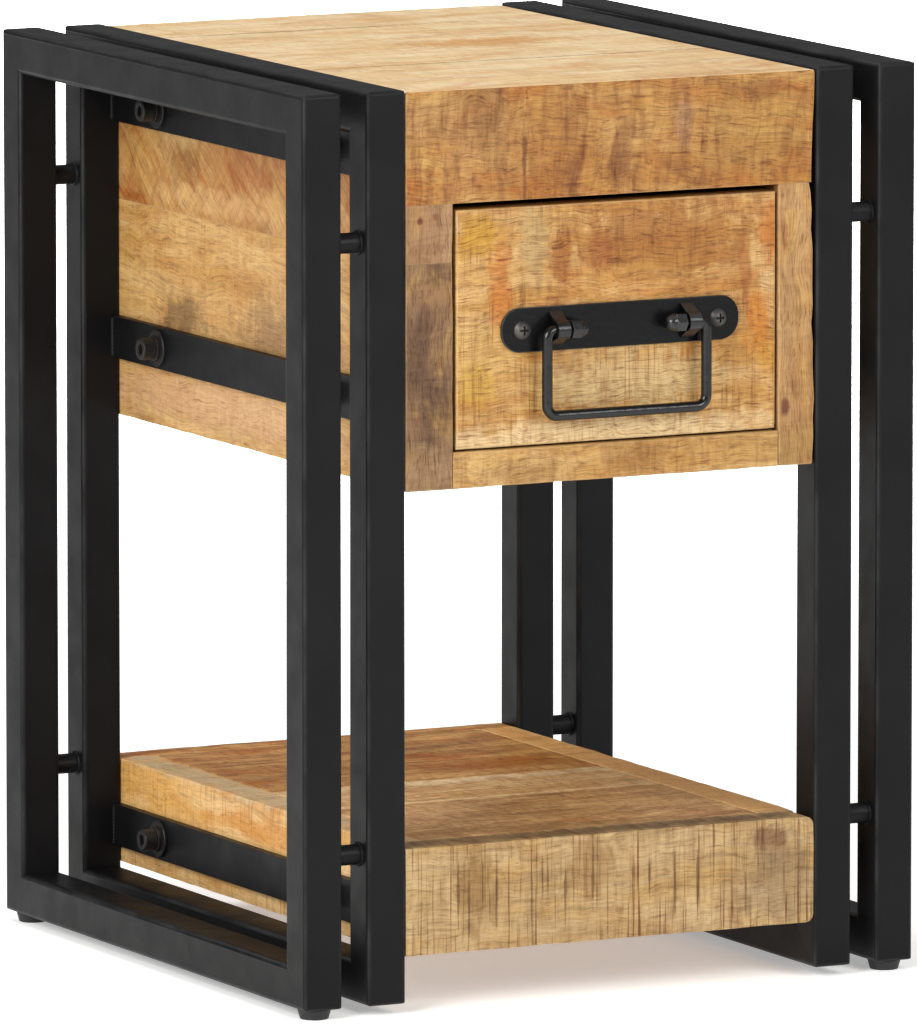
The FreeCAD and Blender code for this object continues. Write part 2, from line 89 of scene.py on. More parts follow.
# %% Camera
view_turn, view_rise = math.radians(-27.014), math.radians(8.0208)
view_distance = 8.751
aim = Vector((2.7 * mm, frame_front + 202 * mm, 259.5 * mm))
towards_camera = Vector((
    math.sin(view_turn) * math.cos(view_rise),
    -math.cos(view_turn) * math.cos(view_rise),
    math.sin(view_rise),
))
camera_data = bpy.data.cameras.new("camera")
camera_data.sensor_width = 36
camera_data.lens = 519.16
camera_data.clip_end = 200
camera = bpy.data.objects.new("camera", camera_data)
camera.location = aim + towards_camera * view_distance
camera.rotation_mode = "QUATERNION"
camera.rotation_quaternion = (-towards_camera).to_track_quat("-Z", "Y")
bpy.context.scene.collection.objects.link(camera)
bpy.context.scene.camera = camera
print("camera", [round(value, 2) for value in camera.location])

# %% [markdown]
# Colours are written as the hex codes that a paint chart uses. The shader wants linear
# light, so one function converts them. A second small function adds a node, sets it up and
# wires it. Two more make what every finish here is built of: `marks`, a soft mask of blobs
# with real sizes in millimetres, and `wash`, which lays a tone over a colour through a mask.

# %% Colour and node helpers
scene = bpy.context.scene
scene.view_settings.view_transform = "Standard"


def linear(hex_code):
    """sRGB hex code to a linear colour with alpha 1."""
    parts = [int(hex_code[place:place + 2], 16) / 255 for place in (1, 3, 5)]
    return [p / 12.92 if p <= 0.04045 else ((p + 0.055) / 1.055) ** 2.4 for p in parts] + [1.0]


def add(tree, kind, wires=None, out=0, **settings):
    """Add a node and return one of its outputs; wires are values or sockets."""
    node = tree.nodes.new(kind if "Node" in kind else "ShaderNode" + kind)
    for name, value in settings.items():
        setattr(node, name, value)
    for place, source in (wires or {}).items():
        if isinstance(source, bpy.types.NodeSocket):
            tree.links.new(source, node.inputs[place])
        else:
            node.inputs[place].default_value = source
    return node.outputs[out] if node.outputs else node


def marks(tree, vector, sizes, low, high, detail=2.0, rough=0.55, twist=0.0):
    """Soft mask of blobs that are sizes millimetres long, wide and thick."""
    scaled = add(tree, "VectorMath", {0: vector, 1: [1 / (s * mm) for s in sizes]},
                 operation="MULTIPLY")
    cloud = add(tree, "TexNoise", {"Vector": scaled, "Scale": 1.0, "Detail": detail,
                                   "Roughness": rough, "Distortion": twist})
    return add(tree, "MapRange", {0: cloud, 1: low, 2: high}, interpolation_type="SMOOTHSTEP")


def wash(tree, colour, mask, strength, tone, how="MIX"):
    """Lay a tone over a colour where a mask is, as strongly as asked."""
    share = add(tree, "Math", {0: mask, 1: strength}, operation="MULTIPLY")
    return add(tree, "Mix", {0: share, 6: colour, 7: tone}, out=2, data_type="RGBA",
               blend_type=how)


def new_finish(name, **uniform):
    """A material with an empty tree and a shader; uniform values go on the shader itself."""
    material = bpy.data.materials.new(name)
    material.use_nodes = True
    tree = material.node_tree
    tree.nodes.clear()
    shader = add(tree, "BsdfPrincipled").node
    add(tree, "OutputMaterial", {"Surface": shader.outputs[0]})
    for socket, value in uniform.items():
        shader.inputs[socket.replace("_", " ")].default_value = value
    return material, tree, shader


def new_group(name, inputs, outputs, kind="ShaderNodeTree"):
    """An empty group with named sockets, and what its inputs give."""
    tree = bpy.data.node_groups.new(name, kind)
    for sockets, way in ((inputs, "INPUT"), (outputs, "OUTPUT")):
        for socket, holds in sockets.items():
            tree.interface.new_socket(socket, in_out=way, socket_type="NodeSocket" + holds)
    return tree, tree.nodes.new("NodeGroupInput").outputs


print("helpers ready")

# %% [markdown]
# Mango wood is a pale, honey-coloured hardwood with streaks from yellow to orange and
# grey-brown heartwood. The first half of the finish is this slow change of tone along a
# board. It works in board directions, X along the grain, so every blob is stretched that
# way, and a gentle wandering of the coordinates keeps the streaks from being ruler-straight.

# %% Mango tone
tone_group, given = new_group(
    "mango_tone",
    {"Vector": "Vector", "Pale": "Color", "Tan": "Color", "Orange": "Color", "Brown": "Color",
     "Orange amount": "Float", "Brown amount": "Float", "Streak amount": "Float"},
    {"Color": "Color"})


def wandering(tree, vector, size, reach):
    """Coordinates pushed about by up to reach millimetres, in waves of a given size."""
    push = add(tree, "TexNoise", {"Vector": vector, "Scale": 1 / (size * mm), "Detail": 2.0}, 1)
    push = add(tree, "VectorMath", {0: push, 1: (0.5, 0.5, 0.5)}, operation="SUBTRACT")
    push = add(tree, "VectorMath", {0: push, 1: [reach * 2 * mm] * 3}, operation="MULTIPLY")
    return add(tree, "VectorMath", {0: vector, 1: push}, operation="ADD")


wavy = wandering(tone_group, given["Vector"], 45, 7)
bands = marks(tone_group, wavy, (150, 14, 14), 0.36, 0.64, 4, 0.6)
flames = marks(tone_group, wavy, (75, 24, 24), 0.48, 0.66, 4, 0.65, 0.8)
heart = marks(tone_group, wavy, (60, 30, 30), 0.5, 0.68, 5, 0.7, 0.5)
gold = marks(tone_group, wavy, (50, 20, 20), 0.5, 0.66, 3, 0.6, 1.0)
streaks = marks(tone_group, wavy, (110, 4, 4), 0.5, 0.7, 3, 0.6)
colour = add(tone_group, "Mix", {0: bands, 6: given["Tan"], 7: given["Pale"]}, 2,
             data_type="RGBA")
colour = wash(tone_group, colour, gold, 0.2, linear("#D2A84E"))
colour = wash(tone_group, colour, flames, given["Orange amount"], given["Orange"])
colour = wash(tone_group, colour, heart, given["Brown amount"], given["Brown"])
colour = wash(tone_group, colour, streaks, given["Streak amount"], given["Brown"])
add(tone_group, "NodeGroupOutput", {0: colour})

# %% [markdown]
# The second half is everything fine: fibres and short dark pores along the grain, a ripple
# across it, and the marks of the band saw. The saw cuts straight across the board, so its
# lines use the unwandered coordinates, and a slow mask lets sanding wipe them out in places.
# Pores are about 0.3 mm wide in mango; they are drawn at 0.7 mm so that they show at all,
# and dashes nearly 2 mm wide stand for the places where many pores lie close together.

# %% Mango figure
figure_group, given = new_group(
    "mango_figure",
    {"Vector": "Vector", "Color": "Color", "Saw amount": "Float", "Line amount": "Float",
     "Ripple amount": "Float", "Fibre amount": "Float", "Sanded": "Float"},
    {"Color": "Color", "Roughness": "Float", "Height": "Float"})
wavy = wandering(figure_group, given["Vector"], 45, 7)
wavy = wandering(figure_group, wavy, 9, 0.5)
fibres = marks(figure_group, wavy, (50, 0.85, 0.85), 0.4, 0.75, 3, 0.65)
pores = marks(figure_group, wavy, (14, 0.7, 0.7), 0.56, 0.86, 2)
dashes = marks(figure_group, wavy, (17, 1.8, 1.8), 0.53, 0.72, 3, 0.65)
ripples = marks(figure_group, wavy, (5, 26, 26), 0.4, 0.72, 3, 0.6, 0.8)
streaks = marks(figure_group, given["Vector"], (7, 60, 60), 0.5, 0.76, 4, 0.65)
lines = marks(figure_group, given["Vector"], (1.5, 60, 60), 0.54, 0.7, 2)
left_by_sanding = marks(figure_group, given["Vector"], (45, 30, 30), 0.42, 0.6, 3)
left_by_sanding = add(figure_group, "Mix", {0: given["Sanded"], 2: 1.0, 3: left_by_sanding})
streaks = add(figure_group, "Math", {0: streaks, 1: given["Saw amount"]}, operation="MULTIPLY")
lines = add(figure_group, "Math", {0: lines, 1: given["Line amount"]}, operation="MULTIPLY")
cuts = add(figure_group, "Math", {0: streaks, 1: lines}, operation="MAXIMUM")
cuts = add(figure_group, "Math", {0: cuts, 1: left_by_sanding}, operation="MULTIPLY")
colour = given["Color"]
for mask, strength, tone in ((ripples, given["Ripple amount"], "#B08A62"),
                             (fibres, given["Fibre amount"], "#B08E66"),
                             (pores, given["Fibre amount"], "#B08C64"),
                             (dashes, given["Fibre amount"], "#A27E58"),
                             (cuts, 1.0, "#A2744A")):
    colour = wash(figure_group, colour, mask, strength, linear(tone), "MULTIPLY")
hollows = add(figure_group, "Math", {0: fibres, 1: 0.5, 2: cuts}, operation="MULTIPLY_ADD")
hollows = add(figure_group, "Math", {0: pores, 1: 0.6, 2: hollows}, operation="MULTIPLY_ADD")
height = add(figure_group, "Math", {0: hollows, 1: -1.0}, operation="MULTIPLY")
dull = add(figure_group, "MapRange", {0: hollows, 1: 0.0, 2: 1.5, 3: 0.44, 4: 0.66})
add(figure_group, "NodeGroupOutput", {0: colour, 1: dull, 2: height})
print("nodes in the mango groups:", len(tone_group.nodes) + len(figure_group.nodes))

# %% [markdown]
# One function cuts a board's finish from the two groups. `along` says which way the grain
# runs and `slide` moves the pattern so that no two boards look alike, the way a joiner picks
# boards from one stack. Between the groups come the stains: soft spots listed one by one, each
# with its centre, its reach and its tone, for heartwood, mineral marks and small knots, and
# for a few dark lines of painted shade.

# %% A board's finish
turns = {"x": (0, 0, 0), "y": (0, 0, math.pi / 2), "z": (0, math.pi / 2, 0)}
relief_depth = 0.2 * mm


def mango_finish(name, tones, tone_amounts, figure_amounts, along="x", slide=0.0, tilt=0.0,
                 stains=()):
    """Material of one board: tones from pale to brown, then how much of each mark."""
    material, tree, shader = new_finish(name, Specular_IOR_Level=0.28)
    place = add(tree, "TexCoord", out="Object")
    turn = Vector(turns[along]) + Vector((0, tilt, 0))
    board = add(tree, "Mapping", {"Vector": place, "Rotation": turn,
                                  "Location": (slide, slide * 0.7, slide * 1.3)},
                vector_type="TEXTURE")
    colour = add(tree, "Group", node_tree=tone_group)
    inputs = colour.node.inputs
    tree.links.new(board, inputs[0])
    for socket, tone in zip(inputs[1:5], tones):
        socket.default_value = linear(tone)
    for socket, amount in zip(inputs[5:8], tone_amounts):
        socket.default_value = amount
    ragged = marks(tree, place, (9, 16, 20), 0.25, 0.75, 5, 0.7) if stains else None
    for centre, reach, tone, strength in stains:
        local = add(tree, "Mapping", {"Vector": place, "Location": [c * mm for c in centre],
                                      "Scale": [r * mm for r in reach]}, vector_type="TEXTURE")
        away = add(tree, "VectorMath", {0: local}, "Value", operation="LENGTH")
        away = add(tree, "Math", {0: ragged, 1: 0.9, 2: away}, operation="MULTIPLY_ADD")
        spot = add(tree, "MapRange", {0: away, 1: 1.7, 2: 0.9}, interpolation_type="SMOOTHSTEP")
        colour = wash(tree, colour, spot, strength, linear(tone))
    figure = add(tree, "Group", node_tree=figure_group).node
    tree.links.new(board, figure.inputs[0])
    tree.links.new(colour, figure.inputs[1])
    for socket, amount in zip(figure.inputs[2:7], figure_amounts + (0.9,)):
        socket.default_value = amount
    rim = add(tree, "Attribute", out="Fac", attribute_name="rim")
    colour = wash(tree, figure.outputs[0], rim, 0.3, linear("#E8C795"))
    tree.links.new(colour, shader.inputs["Base Color"])
    tree.links.new(figure.outputs[1], shader.inputs["Roughness"])
    relief = add(tree, "Bump", {"Height": figure.outputs[2], "Strength": 0.6,
                                "Distance": relief_depth})
    tree.links.new(relief, shader.inputs["Normal"])
    return material


# %% The case's finishes
front_y = frame_front / mm


def on_front(*spots):
    """Stains on front faces: x, height, reach along both, tone, strength."""
    return [((x, front_y, z), (wide, 30, tall), tone, strength)
            for x, z, wide, tall, tone, strength in spots]


def on_top(height, *spots):
    """Stains on a top: x, distance behind the front, reach along both, tone, strength."""
    return [((x, front_y + behind, height), (wide, far, 30), tone, strength)
            for x, behind, wide, far, tone, strength in spots]


# The top: pale and creamy, with two dark lines of painted shade along its seams and one orange
# patch.
top_wood = mango_finish(
    "mango_top_pale_lacquered", ("#F6DFB4", "#ECCA95", "#D89D5E", "#C2915A"), (0.5, 0.3, 0.35),
    (0.1, 0.0, 0.2, 0.3), slide=0.31,
    stains=on_top(
        # Painted shade: the first two spots are dark lines along the seams between the planks.
        536, (0, 131, 170, 2.2, "#885F35", 0.6), (-40, 326, 120, 2.6, "#885F35", 0.6),
        (60, 60, 70, 9, "#CC975C", 0.5), (30, 220, 50, 22, "#D4974D", 0.7),
        (70, 10, 60, 8, "#C49054", 0.5)))
# The fascia: golden brown, crossed by upright marks of the band saw.
fascia_wood = mango_finish(
    "mango_fascia_sawn", ("#B48C53", "#A47136", "#A26224", "#744926"), (0.7, 0.5, 0.25),
    (0.85, 0.3, 0.5, 0.7), slide=0.93, tilt=0.05,
    stains=on_front(
        (-35, 500, 40, 34, "#9A652C", 0.6), (-120, 525, 22, 12, "#B48F5B", 0.5),
        (-57, 494, 2.0, 26, "#62381F", 0.75), (-73, 500, 5, 30, "#7A4E2E", 0.35),
        (-108, 482, 1.6, 18, "#704528", 0.6), (-26, 482, 5, 14, "#704121", 0.6),
        (6, 494, 8, 24, "#7A4D28", 0.55), (-26, 516, 7, 18, "#7E5026", 0.5),
        (-82, 508, 6, 20, "#84572C", 0.4), (72, 508, 5, 18, "#80552A", 0.45),
        (-98, 492, 12, 34, "#B78C56", 0.5), (24, 488, 9, 14, "#B4803E", 0.5),
        (47, 510, 6, 17, "#9A7760", 0.55), (92, 500, 40, 30, "#A58143", 0.45),
        (95, 527, 22, 7, "#7E542A", 0.55)))
# The left stile: a pinkish piece with two small knots above a dark, greyish one.
stile_pink = mango_finish(
    "mango_left_stile_upper", ("#A68563", "#957350", "#8C5F3D", "#74553C"), (0.3, 0.3, 0.3),
    (0.1, 0.1, 0.3, 0.6), "z", 1.37,
    stains=on_front(
        (-124.7, 461.5, 2.4, 2.4, "#652F19", 0.85), (-114.5, 463.5, 2.0, 2.0, "#723B23", 0.6)))
stile_dark = mango_finish(
    "mango_left_stile_lower", ("#85684A", "#70543B", "#7D5739", "#503829"), (0.3, 0.6, 0.4),
    (0.1, 0.15, 0.4, 0.7), "z", 1.61,
    stains=on_front(
        (-118, 418, 18, 7, "#95704B", 0.6), (-128, 388, 9, 30, "#584030", 0.6),
        (-116, 316, 26, 16, "#957857", 0.75)))
# The right stile: even tan, darkest at one knot near its foot.
stile_tan = mango_finish(
    "mango_right_stile", ("#B18C5E", "#9F774A", "#986A3C", "#795B39"), (0.4, 0.3, 0.3),
    (0.1, 0.1, 0.25, 0.6), "z", 2.13,
    stains=on_front(
        (114.4, 339, 3.0, 5.5, "#5E2D18", 0.85), (113.5, 440, 2.5, 12, "#8A4B2C", 0.6),
        (122, 314, 22, 15, "#9A7942", 0.6)))
# The bottom rail: plain honey colour with two brown clouds.
rail_wood = mango_finish(
    "mango_bottom_rail", ("#C4A169", "#B1894D", "#A77231", "#825E36"), (0.5, 0.4, 0.4),
    (0.2, 0.2, 0.4, 0.6), slide=2.57,
    stains=on_front(
        (-60, 312, 26, 9, "#8D683C", 0.5), (18, 316, 20, 9, "#91652E", 0.6)))
# The sides: an upper plank with slanting brown flames over a pale, calm one.
side_brown = mango_finish(
    "mango_side_upper", ("#BC935B", "#AB7B43", "#9C5623", "#734925"), (0.9, 0.5, 0.4),
    (0.0, 0.0, 0.3, 0.45), "y", 3.71, tilt=-0.7,
    stains=(((-134, front_y + 140, 486), (30, 60, 14), "#935425", 0.65),
            ((-134, front_y + 215, 468), (30, 36, 10), "#A05F2D", 0.55),
            ((-134, front_y + 300, 488), (30, 36, 14), "#CBA973", 0.6),
            ((-134, front_y + 250, 446), (30, 90, 8), "#CDA770", 0.5)))
side_pale = mango_finish(
    "mango_side_lower", ("#CCA66C", "#BB9054", "#AE783A", "#72563A"), (0.5, 0.3, 0.3),
    (0.1, 0.1, 0.2, 0.5), "y", 4.33,
    stains=(((-134, front_y + 150, 376), (30, 70, 26), "#8A6945", 0.7),
            ((-134, front_y + 290, 374), (30, 30, 14), "#6D5438", 0.7),
            ((-134, front_y + 250, 324), (30, 200, 15), "#C89E78", 0.65)))

# %% The drawer's and the shelf's finishes
# The drawer front: yellow and orange flames round the handle, pale at its foot.
drawer_wood = mango_finish(
    "mango_drawer_front", ("#C6A169", "#B58745", "#AE6524", "#7E552B"), (0.4, 0.25, 0.25),
    (0.7, 0.5, 0.3, 0.75), slide=3.19,
    stains=on_front(
        (30, 446, 74, 24, "#97632B", 0.8), (-86, 452, 14, 17, "#BB8E2F", 0.8),
        (-50, 444, 10, 26, "#AC9060", 0.85), (-72, 413, 8, 34, "#B56C22", 0.75),
        (-32, 435, 10, 14, "#91551F", 0.7), (-6, 441, 8, 17, "#93562A", 0.6),
        (30, 425, 30, 9, "#A37235", 0.5), (105, 440, 9, 22, "#B0661F", 0.75),
        (88, 412, 5, 26, "#A0622C", 0.6), (97, 392, 10, 20, "#BC741E", 0.75),
        (104, 370, 9, 12, "#BE8A34", 0.6), (104, 414, 8, 10, "#CDB07C", 0.7),
        (-84, 384, 26, 16, "#C3A262", 0.7), (-88, 364, 13, 12, "#BA9636", 0.6),
        (-33, 388, 3.5, 30, "#94672F", 0.5), (40, 386, 4, 22, "#9A7040", 0.45),
        (14, 362, 58, 20, "#C4AA78", 0.85), (0, 332, 130, 10, "#D2B88A", 0.9)))
saw_cuts = ((-100, 66, 24), (-93, 60, 20), (-84, 72, 18), (-75, 68, 20), (-52, 62, 22),
            (-45, 74, 12), (-30, 64, 24), (-12, 72, 18), (25, 72, 14), (42, 66, 20), (57, 64, 18))
# The shelf's front: straight upright cuts of the saw, hardly sanded, under a strip of painted
# shade along its top edge.
shelf_front_wood = mango_finish(
    "mango_shelf_front_sawn", ("#BEA377", "#AB8D5E", "#9D7846", "#70563B"), (0.3, 0.3, 0.3),
    (0.6, 0.9, 0.3, 0.5, 0.35), slide=4.91,
    stains=on_front(
        (-88, 70, 14, 28, "#84602F", 0.6), (-13, 78, 17, 18, "#8E6A3C", 0.55),
        (112, 60, 26, 34, "#836D50", 0.55), (104, 86, 13, 7, "#6E472A", 0.65),
        (-134, 62, 10, 60, "#C0A777", 0.5))
    # Painted shade: a dark strip along the rounded top edge.
    + [((0, front_y + 14, 97), (170, 12, 3), "#60472C", 0.7)]
    + on_front(*((x, z, 0.9, reach, "#5C3D1A", 0.7) for x, z, reach in saw_cuts)))
# The shelf's rails: warm yellow on the side, greyer along the left top.
shelf_rail_wood = mango_finish(
    "mango_shelf_rail", ("#EAC48A", "#DEAC64", "#CC8A3C", "#9C7646"), (0.5, 0.15, 0.3),
    (0.5, 0.7, 0.2, 0.4, 0.5), "y", 5.27,
    stains=(((-134, 120, 66), (8, 50, 26), "#D8A24C", 0.55),
            ((-134, -20, 80), (8, 90, 9), "#D2892E", 0.6),
            ((-134, -90, 58), (8, 40, 12), "#E2B468", 0.5),
            ((-122, 0, 97), (14, 260, 5), "#C9B896", 0.7),
            ((122, 0, 97), (14, 260, 5), "#E0AC6A", 0.8)))
# The shelf's planks: brown, each lighter along one glue line.
shelf_front_plank_wood = mango_finish(
    "mango_shelf_front_plank", ("#ECC48C", "#CEA066", "#B87E38", "#7E5E38"), (0.55, 0.35, 0.6),
    (0.3, 0.2, 0.4, 0.9), slide=5.83,
    stains=on_top(
        97, (0, 150, 150, 3.5, "#F0D2A2", 0.8), (-90, 105, 60, 30, "#E6BC8C", 0.65),
        (70, 84, 60, 12, "#DCB072", 0.5), (30, 34, 120, 10, "#9A7148", 0.5)))
shelf_middle_plank_wood = mango_finish(
    "mango_shelf_middle_plank", ("#F4D29C", "#DEB278", "#C88E48", "#8E6840"), (0.45, 0.25, 0.5),
    (0.3, 0.2, 0.4, 0.8), slide=6.17,
    stains=on_top(
        97, (0, 214, 150, 10, "#F6DFB2", 0.9), (50, 192, 80, 12, "#EAC894", 0.65),
        (0, 152, 150, 3.5, "#F0D2A2", 0.8)))
shelf_rear_plank_wood = mango_finish(
    "mango_shelf_rear_plank", ("#DCAC68", "#B68042", "#BC6C1C", "#684422"), (0.85, 0.5, 0.6),
    (0.2, 0.2, 0.4, 0.9), slide=6.61,
    stains=on_top(
        97, (60, 262, 44, 22, "#BC7428", 0.7), (20, 235, 110, 9, "#E6B878", 0.7),
        (-60, 300, 40, 16, "#B87A3C", 0.5)))
# Inside pieces: planed pale wood that nobody stained, and a birch bottom.
inside_wood = mango_finish(
    "mango_planed_inside", ("#DFC59A", "#CEB080", "#C49C64", "#A4855C"), (0.3, 0.2, 0.3),
    (0.05, 0.1, 0.2, 0.4), "y", 7.13)
back_wood = mango_finish(
    "mango_planed_back", ("#E2C496", "#CEAA74", "#C0925A", "#94714A"), (0.4, 0.4, 0.5),
    (0.15, 0.2, 0.3, 0.6), slide=7.43)
plywood = mango_finish(
    "birch_plywood_sanded", ("#E6D2A8", "#DCC294", "#D4B27C", "#C09A68"), (0.2, 0.1, 0.3),
    (0.0, 0.0, 0.1, 0.3), slide=7.71)
print("wood finishes:", len([m for m in bpy.data.materials if m.name.startswith("mango")]))

# %% [markdown]
# The frames are square mild-steel tube with a satin black powder coat: a plastic-like skin,
# about 0.08 mm thick, with a very fine orange peel. It rubs thin at the arrises, and a rim
# value stored on the mesh lets the edges turn slightly greyer there: partly that wear,
# partly a painted highlight along the edges. The same recipe makes the oxide-black screws,
# the lacquered handle and the moulded foot glides, with other gloss and other grain. A
# second, simpler recipe makes the bare zinc, with painted shade in marked recesses.

# %% Steel and plastic finishes


def dark_finish(name, body, worn_and_sheen, rough, peel_size, peel_depth, wear_and_sheen=1.0, specular=0.5):
    """Black coating that is lighter where the rim attribute says edge: partly wear, partly a
    painted highlight.
    """
    material, tree, shader = new_finish(name, Specular_IOR_Level=specular)
    place = add(tree, "TexCoord", out="Object")
    rim = add(tree, "Attribute", out="Fac", attribute_name="rim")
    # Lighter rims: partly coat rubbed thin, partly a painted highlight along the edges.
    rubbed_and_sheen = marks(tree, place, (35, 35, 35), 0.3, 0.75, 4, 0.6)
    rubbed_and_sheen = add(tree, "Math", {0: rubbed_and_sheen, 1: rim}, operation="MULTIPLY")
    cloud = marks(tree, place, (60, 60, 60), 0.3, 0.7, 3)
    lighter = [part * 1.5 for part in linear(body)[:3]] + [1.0]
    colour = wash(tree, linear(body), cloud, 1.0, lighter)
    colour = wash(tree, colour, rubbed_and_sheen, wear_and_sheen, linear(worn_and_sheen))
    tree.links.new(colour, shader.inputs["Base Color"])
    patches = marks(tree, place, (25, 25, 25), 0.3, 0.7, 4, 0.6)
    dull = add(tree, "MapRange", {0: patches, 3: rough, 4: rough + 0.1})
    tree.links.new(dull, shader.inputs["Roughness"])
    peel = marks(tree, place, (peel_size,) * 3, 0.2, 0.8)
    peel = add(tree, "Bump", {"Height": peel, "Strength": 0.5, "Distance": peel_depth * mm})
    tree.links.new(peel, shader.inputs["Normal"])
    return material


def metal_finish(name, dark, light, grit, **uniform):
    """Bare or plated metal, cloudy over a few millimetres, with painted shade where marked deep.
    """
    material, tree, shader = new_finish(name, **uniform)
    place = add(tree, "TexCoord", out="Object")
    cloud = marks(tree, place, (grit,) * 3, 0.3, 0.7, 3)
    colour = wash(tree, linear(dark), cloud, 1.0, linear(light))
    # Painted shade: points marked deep are darkened almost to black.
    deep = add(tree, "Attribute", out="Fac", attribute_name="deep")
    tree.links.new(wash(tree, colour, deep, 0.9, linear("#0C0B0A")), shader.inputs["Base Color"])
    return material


# Frames and straps: nearly matt, so light only greys their broad faces.
frame_coat = dark_finish("steel_satin_black_powder_coat", "#0D0D0E", "#3A3A3C", 0.38, 1.2,
                         0.03, wear_and_sheen=0.6, specular=0.15)
# Strap screws and washers: a browner black with a finer grain.
screw_coat = dark_finish("steel_black_oxide_screw", "#171514", "#3C3734", 0.4, 0.8, 0.03,
                         specular=0.3)
# Handle plate: smooth and deep black, dented a little like forged iron.
handle_coat = dark_finish("steel_black_lacquered_forged", "#0A0A0B", "#4A4A4C", 0.22, 5.0,
                          0.12, specular=0.17)
# Bail, lugs and nuts: the same lacquer polished by hands, with small sharp lights.
bail_coat = dark_finish("steel_black_lacquered_bail", "#0A0A0B", "#4A4A4C", 0.2, 5.0, 0.15,
                        wear_and_sheen=0.5, specular=0.45)
# Glides: dull black plastic.
glide_plastic = dark_finish("polyethylene_black_moulded", "#121212", "#202020", 0.5, 0.9, 0.03)
# Handle screws: dull grey, so that their crosses show.
grey_screw = metal_finish("steel_zinc_grey_screw", "#3E3C3B", "#55524F", 5.0, Metallic=0.6,
                          Roughness=0.48)
# Inserts: bright zinc, seen only if a board is taken off.
bright_steel = metal_finish("steel_bright_zinc_insert", "#A8A59C", "#CFCCC2", 2.0, Metallic=1.0,
                            Roughness=0.35)
print("all finishes:", len(bpy.data.materials))

# %% [markdown]
# A real board has no knife-sharp edge. Each wooden piece starts as a copy of the measured
# one with its corners joined, the long edges get a bevel weight, and the Bevel modifier
# rounds them. Edges against a neighbour stay tight; outer ones are rounder. Then the board
# is cut into short lengths, so its outer edges can wander a few tenths of a millimetre.

# %% Shape helpers


def joined_copy(*nodes):
    """Editable copy of measured pieces with shared corners and whole faces."""
    work = bmesh.new()
    for node in nodes:
        work.from_mesh(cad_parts[node].data)
    bmesh.ops.remove_doubles(work, verts=work.verts, dist=0.005 * mm)
    bmesh.ops.dissolve_limit(work, angle_limit=math.radians(0.5), verts=work.verts,
                             edges=work.edges)
    work.normal_update()
    return work


def as_object(work, name):
    """Object at the origin that holds the edited mesh."""
    mesh = bpy.data.meshes.new(name)
    work.to_mesh(mesh)
    work.free()
    made = bpy.data.objects.new(name, mesh)
    scene.collection.objects.link(made)
    return made


def baked(made):
    """Replace an object's mesh by what its modifiers make of it."""
    bpy.context.view_layer.update()
    graph = bpy.context.evaluated_depsgraph_get()
    result = bpy.data.meshes.new_from_object(made.evaluated_get(graph))
    old = made.data
    made.modifiers.clear()
    made.data = result
    bpy.data.meshes.remove(old)
    result.name = made.name
    return made


def bevelled(work, name, radius_of, segments=3):
    """Round the edges of an edited mesh; radius_of gives each edge its radius in mm."""
    layer = work.edges.layers.float.new("bevel_weight_edge")
    widest = 0.01
    radii = {}
    for edge in work.edges:
        if len(edge.link_faces) == 2 and edge.calc_face_angle(0) > math.radians(28):
            radii[edge] = radius_of(edge)
            widest = max(widest, radii[edge])
    for edge, radius in radii.items():
        edge[layer] = radius / widest
    made = as_object(work, name)
    bevel = made.modifiers.new("eased edges", "BEVEL")
    bevel.limit_method = "WEIGHT"
    bevel.offset_type = "OFFSET"
    bevel.width = widest * mm
    bevel.segments = segments
    bevel.use_clamp_overlap = True
    return baked(made)


def smooth_faces(made):
    """Smooth shading that leaves the flat faces flat."""
    made.data.shade_smooth()
    weights = made.modifiers.new("even normals", "WEIGHTED_NORMAL")
    weights.keep_sharp = True
    weights.weight = 60
    return baked(made)


def dress(made, finish, body, slot, *nodes):
    """Give a finished piece its material and body, and hide the measured pieces it stands for;
    slot is not used.
    """
    made.data.materials.clear()
    made.data.materials.append(finish)
    for face in made.data.polygons:
        face.material_index = 0
    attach(made, body)
    if nodes:
        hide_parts(*nodes)
    return made


def cut_across(work, axis, places):
    """Add loops of edges across a mesh, where planes cut it."""
    normal = Vector([1.0 if side == axis else 0.0 for side in range(3)])
    for place in places:
        everything = work.verts[:] + work.edges[:] + work.faces[:]
        bmesh.ops.bisect_plane(work, geom=everything, plane_co=normal * place, plane_no=normal,
                               dist=1e-6)


def on_face(point, low, high, face):
    """True if a point lies on a named side, such as x+, of a box."""
    axis = "xyz".index(face[0])
    wall = high[axis] if face[1] == "+" else low[axis]
    return abs(point[axis] - wall) < 0.02 * mm


def store(mesh, name, values, kind="FLOAT"):
    """Store a named value at each point of a mesh."""
    field = "vector" if kind == "FLOAT_VECTOR" else "value"
    for point, value in zip(mesh.attributes.new(name, kind, "POINT").data, values):
        setattr(point, field, value)


def rim_values(made):
    """Store how much each point lies on a rounded arris: 1 on it, 0 on a flat."""
    flatness = [max(abs(part) for part in corner.normal) for corner in made.data.vertices]
    store(made.data, "rim", [min(1.0, 3.6 * (1 - flat)) for flat in flatness])


# %% A board with eased edges
short_length = 11 * mm


